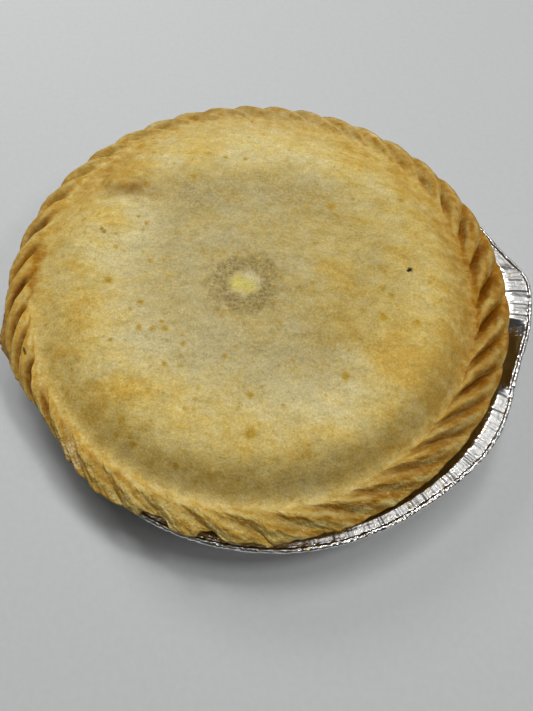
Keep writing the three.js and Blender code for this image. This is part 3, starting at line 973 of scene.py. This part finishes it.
FLOOR_LIGHT = 0.92  # light on the floor of which each lamp gives a share
LAMPS = [  # name, tilt, heading, distance, breadth, depth, share of the floor's light, mirrored
    ("lamp_right", 22.5, 15, 2.5, 0.46, 0.22, 0.26, False),
    ("lamp_far", 18, 76, 2.5, 1.1, 0.18, 0.25, False),
    ("lamp_far_left", 25, 106, 2.5, 0.5, 0.4, 0.17, True),
    ("lamp_low_left", 45, 136, 0.75, 0.2, 0.22, 0.2, False),
    ("lamp_low_right", 40, 345, 2.0, 0.4, 0.28, 0.09, True),
]
SKY_GLOW = 0.03  # on all but gloss: this at the horizon and twice this straight above
OVERHEAD = (0.25, 0.3, 0.92)  # the way to the bright part of the sky that the foil mirrors
OVERHEAD_LIGHT = 1.1
OVERHEAD_FALLOFF = 10.0  # power of the cosine: a higher one makes that part smaller
MIRRORED_GLOW = 0.05  # what the foil mirrors elsewhere
BACKDROP = 0.45  # light of the background, seen by the camera alone


def lamp(name, tilt, heading, distance, breadth, depth, share, mirrored):
    """Oblong area light over the pie that faces it, in metres. tilt is its angle from straight
    up and heading the way it leans to, in degrees from +X; breadth runs round and depth up and
    down. Its power lights the floor with that share of FLOOR_LIGHT: pi^2 distance^2 share /
    cos(tilt). Only a mirrored one is seen in the foil."""
    data = bpy.data.lights.new(name, "AREA")
    data.shape, data.size, data.size_y = "RECTANGLE", breadth, depth
    lean, turn = math.radians(tilt), math.radians(heading)
    data.energy = FLOOR_LIGHT * share * (math.pi * distance) ** 2 / math.cos(lean)
    side = np.array([-math.sin(turn), math.cos(turn), 0.0])
    level = np.array([math.cos(turn), math.sin(turn), 0.0])
    away = math.sin(lean) * level + np.array([0.0, 0.0, math.cos(lean)])
    axes = np.stack([side, np.cross(away, side), away], axis=1)
    piece = linked(name, data)
    piece.visible_glossy = mirrored
    piece.matrix_world = Matrix.Translation(away * distance) @ Matrix(axes.tolist()).to_4x4()


def studio_world():
    """Dim white surroundings of three strengths: a soft glow on the object, a bright part
    overhead that gloss mirrors, and a pale backdrop behind the floor's end."""
    world = bpy.data.worlds.new("studio")
    world.use_nodes = True
    sky = world.node_tree
    towards = add(sky, "ShaderNodeTexCoord").outputs["Generated"]
    up = maths(sky, "MAXIMUM", add(sky, "ShaderNodeSeparateXYZ", Vector=towards).outputs["Z"], 0.0)
    glow = maths(sky, "MULTIPLY_ADD", maths(sky, "POWER", up, 2.0), SKY_GLOW, SKY_GLOW)
    cosine = vectors(sky, "DOT_PRODUCT", towards, OVERHEAD).outputs["Value"]
    overhead = maths(sky, "POWER", maths(sky, "MAXIMUM", cosine, 0.0), OVERHEAD_FALLOFF)
    mirrored = maths(sky, "MULTIPLY_ADD", overhead, OVERHEAD_LIGHT, MIRRORED_GLOW)
    path = add(sky, "ShaderNodeLightPath").outputs
    more = maths(sky, "SUBTRACT", mirrored, glow)
    strength = maths(sky, "MULTIPLY_ADD", path["Is Glossy Ray"], more, glow)
    strength = maths(sky, "MULTIPLY_ADD", path["Is Camera Ray"], BACKDROP, strength)
    background = sky.nodes["Background"]
    background.inputs["Color"].default_value = (1, 1, 1, 1)
    feed(sky, background.inputs["Strength"], strength)
    return world


# ---------------------------------------------------------------- camera

CAMERA_PLACE = (0.00143, -0.13222, 0.24006)
CAMERA_DOWN = math.radians(65.2)  # how far it looks down from level
CAMERA_ROLL = math.radians(6.03)
CAMERA_LENS = 27.04  # in millimetres, as the next
PICTURE_SIDE = 36.0  # the longer one
NEAREST = 0.01  # metres in front of the camera where the view starts


def camera():
    """Camera at the photograph's place, looking down and rolled a little; its axes are the level
    ones turned by the roll."""
    data = bpy.data.cameras.new("camera")
    data.lens, data.sensor_width, data.clip_start = CAMERA_LENS, PICTURE_SIDE, NEAREST
    ahead = np.array([0, math.cos(CAMERA_DOWN), -math.sin(CAMERA_DOWN)])
    up = np.array([0, math.sin(CAMERA_DOWN), math.cos(CAMERA_DOWN)])
    right = np.array([1.0, 0, 0])
    axes = np.stack([math.cos(CAMERA_ROLL) * right + math.sin(CAMERA_ROLL) * up,
                     math.cos(CAMERA_ROLL) * up - math.sin(CAMERA_ROLL) * right, -ahead], axis=1)
    piece = linked("camera", data)
    piece.matrix_world = Matrix.Translation(CAMERA_PLACE) @ Matrix(axes.tolist()).to_4x4()
    return piece


# ---------------------------------------------------------------- the scene

pie = pie_piece()
pie.data.materials.append(crust_material())
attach(pie, "root")
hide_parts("pie")

dish = dish_piece()
dish.data.materials.append(foil_material())
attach(dish, "root")
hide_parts("foil_dish")

floor = floor_piece(FLOOR_REACH)
floor.data.materials.append(floor_material())

for facts in LAMPS:
    lamp(*facts)
bpy.context.scene.world = studio_world()
bpy.context.scene.view_settings.view_transform = "Standard"
bpy.context.scene.camera = camera()
